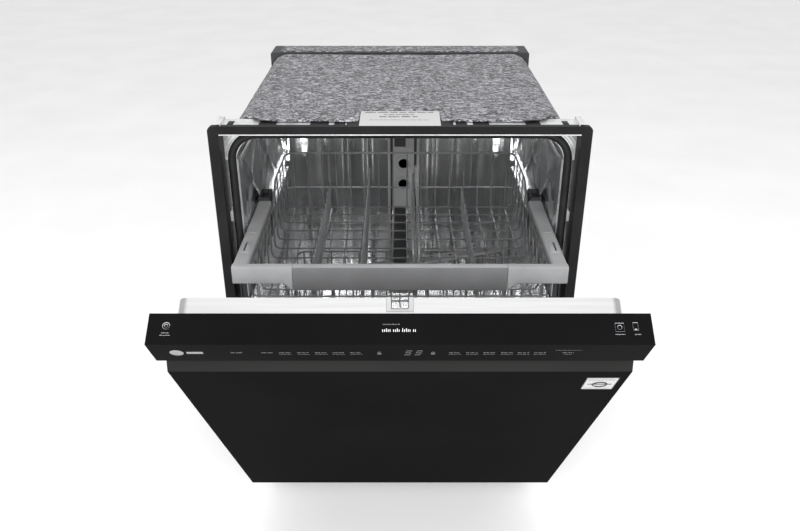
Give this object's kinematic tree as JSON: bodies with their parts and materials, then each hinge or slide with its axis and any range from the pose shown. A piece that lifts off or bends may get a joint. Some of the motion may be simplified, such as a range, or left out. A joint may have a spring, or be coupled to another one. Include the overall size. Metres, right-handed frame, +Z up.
{
  "type": "built-in dishwasher",
  "caption": "Built-in dishwasher with a drop-down door, steel tub, two pull-out wire racks, spray arms and felt-wrapped sides, shown part open.",
  "frame": {"origin": "on the floor, under the middle of the machine's box as it stands with its door part open", "axes": "+X to the machine's right seen from the front, +Y to its back, +Z up"},
  "size_m": [0.603, 1.021, 0.8575],
  "materials": {
    "stainless": "bright brushed",
    "galvanised_steel": "pale zinc coat",
    "hinge_steel": "plain",
    "black_painted_steel": "smooth satin",
    "black_gloss": "glossy",
    "black_plastic": "satin",
    "seal_rubber": "matt",
    "felt": "mottled fibre mat",
    "dark_plastic": "satin",
    "motor_metal": "cast",
    "grey_plastic": "satin",
    "white_plastic": "satin",
    "coated_wire": "nylon coated"
  },
  "bodies": {
    "cabinet": {"tub_shell": "stainless", "tub_rear_wall": "stainless", "tub_floor": "stainless", "tub_seal": "seal_rubber", "insulation_blanket": "felt", "front_frame": "galvanised_steel", "front_trim": "black_plastic", "rear_frame": "dark_plastic", "base_pan": "black_plastic", "sump": "dark_plastic", "wash_pump": "motor_metal", "water_guide": "grey_plastic", "filter_screen": "stainless", "door_striker": "black_plastic", "left_hinge_bracket": "hinge_steel", "right_hinge_bracket": "hinge_steel", "left_outer_rail": "stainless", "right_outer_rail": "stainless"},
    "door": {"door_panel": "black_painted_steel", "control_panel": "black_gloss", "pocket_handle": "black_plastic", "door_liner": "stainless", "latch_housing": "white_plastic", "dispenser_body": "grey_plastic", "left_hinge_arm": "hinge_steel", "right_hinge_arm": "hinge_steel"},
    "detergent_lid": {"dispenser_lid": "grey_plastic"},
    "rinse_cap": {"rinse_aid_cap": "grey_plastic"},
    "latch": {"latch_hook": "hinge_steel"},
    "left_rail": {"left_inner_rail": "stainless"},
    "right_rail": {"right_inner_rail": "stainless"},
    "rack_carriage": {"left_height_adjuster": "dark_plastic", "right_height_adjuster": "dark_plastic"},
    "upper_rack": {"upper_rack_floor": "coated_wire", "upper_rack_front": "coated_wire", "upper_rack_back": "coated_wire", "upper_rack_left_side": "coated_wire", "upper_rack_right_side": "coated_wire", "upper_rack_handle": "grey_plastic", "upper_feed_tube": "dark_plastic"},
    "upper_tines": {"upper_rack_tines": "coated_wire"},
    "upper_glass_rest": {"glass_rest": "coated_wire"},
    "upper_arm": {"upper_spray_arm": "grey_plastic"},
    "lower_rack": {"lower_rack_floor": "coated_wire", "lower_rack_front": "coated_wire", "lower_rack_back": "coated_wire", "lower_rack_left_side": "coated_wire", "lower_rack_right_side": "coated_wire"},
    "lower_tines": {"lower_rack_tines": "coated_wire"},
    "cutlery": {"cutlery_basket": "grey_plastic"},
    "lower_arm": {"lower_spray_arm": "grey_plastic"},
    "filter_cup": {"fine_filter": "grey_plastic"},
    "front_left_wheel": {"lower_rack_front_left_wheel": "grey_plastic"},
    "front_right_wheel": {"lower_rack_front_right_wheel": "grey_plastic"},
    "back_left_wheel": {"lower_rack_back_left_wheel": "grey_plastic"},
    "back_right_wheel": {"lower_rack_back_right_wheel": "grey_plastic"},
    "front_left_leg_screw": {"front_left_leg": "dark_plastic"},
    "front_right_leg_screw": {"front_right_leg": "dark_plastic"},
    "back_left_leg_screw": {"back_left_leg": "dark_plastic"},
    "back_right_leg_screw": {"back_right_leg": "dark_plastic"}
  },
  "joints": [
    {"name": "door_hinge", "type": "hinge", "parent": "cabinet", "child": "door", "pos_m": [0, -0.1195, 0.212], "axis": [1, 0, 0], "range_deg": [-35.4, 54.6], "stiffness_Nm_per_rad": 20, "springref_deg": -35.41},
    {"name": "upper_rack_slide", "type": "slide", "parent": "cabinet", "child": "rack_carriage", "axis": [0, -1, 0], "range_m": [-0.1411, 0.21757]},
    {"name": "upper_rack_lift", "type": "slide", "parent": "rack_carriage", "child": "upper_rack", "axis": [0, 0, 1], "range_m": [0, 0.05]},
    {"name": "left_rail_slide", "type": "slide", "parent": "cabinet", "child": "left_rail", "axis": [0, -1, 0], "range_m": [-0.05086, 0.07839]},
    {"name": "right_rail_slide", "type": "slide", "parent": "cabinet", "child": "right_rail", "axis": [0, -1, 0], "range_m": [-0.05086, 0.07839]},
    {"name": "lower_rack_slide", "type": "slide", "parent": "cabinet", "child": "lower_rack", "axis": [0, -1, 0], "range_m": [-0.0371, 0.05717]},
    {"name": "front_left_wheel_roll", "type": "hinge", "parent": "lower_rack", "child": "front_left_wheel", "pos_m": [-0.25, -0.0505, 0.2665], "axis": [1, 0, 0], "range_deg": [-152.4, 234.6]},
    {"name": "front_right_wheel_roll", "type": "hinge", "parent": "lower_rack", "child": "front_right_wheel", "pos_m": [0.25, -0.0505, 0.2665], "axis": [1, 0, 0], "range_deg": [-152.4, 234.6]},
    {"name": "back_left_wheel_roll", "type": "hinge", "parent": "lower_rack", "child": "back_left_wheel", "pos_m": [-0.25, 0.3095, 0.2665], "axis": [1, 0, 0], "range_deg": [-152.4, 234.6]},
    {"name": "back_right_wheel_roll", "type": "hinge", "parent": "lower_rack", "child": "back_right_wheel", "pos_m": [0.25, 0.3095, 0.2665], "axis": [1, 0, 0], "range_deg": [-152.4, 234.6]},
    {"name": "upper_arm_spin", "type": "hinge", "parent": "upper_rack", "child": "upper_arm", "pos_m": [0, 0.0515, 0.5352], "axis": [0, 0, 1], "continuous": true},
    {"name": "lower_arm_spin", "type": "hinge", "parent": "cabinet", "child": "lower_arm", "pos_m": [0, 0.1965, 0.259], "axis": [0, 0, 1], "continuous": true},
    {"name": "filter_cup_turn", "type": "hinge", "parent": "cabinet", "child": "filter_cup", "pos_m": [0.038, 0.1585, 0.22], "axis": [0, 0, 1], "range_deg": [0, 90]},
    {"name": "front_left_leg_turn", "type": "hinge", "parent": "cabinet", "child": "front_left_leg_screw", "pos_m": [-0.2409, 0.0613, 0.033], "axis": [0, 0, 1], "continuous": true},
    {"name": "front_right_leg_turn", "type": "hinge", "parent": "cabinet", "child": "front_right_leg_screw", "pos_m": [0.2409, 0.0613, 0.033], "axis": [0, 0, 1], "continuous": true},
    {"name": "back_left_leg_turn", "type": "hinge", "parent": "cabinet", "child": "back_left_leg_screw", "pos_m": [-0.2409, 0.4825, 0.033], "axis": [0, 0, 1], "continuous": true},
    {"name": "back_right_leg_turn", "type": "hinge", "parent": "cabinet", "child": "back_right_leg_screw", "pos_m": [0.2409, 0.4825, 0.033], "axis": [0, 0, 1], "continuous": true},
    {"name": "detergent_lid_slide", "type": "slide", "parent": "door", "child": "detergent_lid", "axis": [0, -0.5793, 0.8151], "range_m": [0, 0.056]},
    {"name": "rinse_cap_turn", "type": "hinge", "parent": "door", "child": "rinse_cap", "pos_m": [0.07, -0.28767, 0.51942], "axis": [0, 0.8151, 0.5793], "range_deg": [0, 90]},
    {"name": "latch_turn", "type": "hinge", "parent": "door", "child": "latch", "pos_m": [0, -0.4438, 0.71737], "axis": [1, 0, 0], "range_deg": [0, 60]},
    {"name": "glass_rest_fold", "type": "hinge", "parent": "upper_rack", "child": "upper_glass_rest", "pos_m": [0.026, -0.0035, 0.572], "axis": [0, 1, 0], "range_deg": [0, 80]},
    {"name": "upper_tines_fold", "type": "hinge", "parent": "upper_rack", "child": "upper_tines", "pos_m": [-0.062, -0.0035, 0.572], "axis": [0, -1, 0], "range_deg": [0, 80]},
    {"name": "lower_tines_fold", "type": "hinge", "parent": "lower_rack", "child": "lower_tines", "pos_m": [-0.062, -0.0035, 0.287], "axis": [0, -1, 0], "range_deg": [0, 80]},
    {"name": "cutlery_basket_lift", "type": "slide", "parent": "lower_rack", "child": "cutlery", "axis": [0, 0, 1], "range_m": [0, 0.08]}
  ],
  "couplings": [
    {"joint": "upper_rack_slide", "follows": "door_hinge", "m_per_rad": 0.22821},
    {"joint": "left_rail_slide", "follows": "door_hinge", "m_per_rad": 0.082156},
    {"joint": "right_rail_slide", "follows": "door_hinge", "m_per_rad": 0.082156},
    {"joint": "lower_rack_slide", "follows": "door_hinge", "m_per_rad": 0.059885},
    {"joint": "front_left_wheel_roll", "follows": "door_hinge", "ratio": 4.2775},
    {"joint": "front_right_wheel_roll", "follows": "door_hinge", "ratio": 4.2775},
    {"joint": "back_left_wheel_roll", "follows": "door_hinge", "ratio": 4.2775},
    {"joint": "back_right_wheel_roll", "follows": "door_hinge", "ratio": 4.2775}
  ]
}
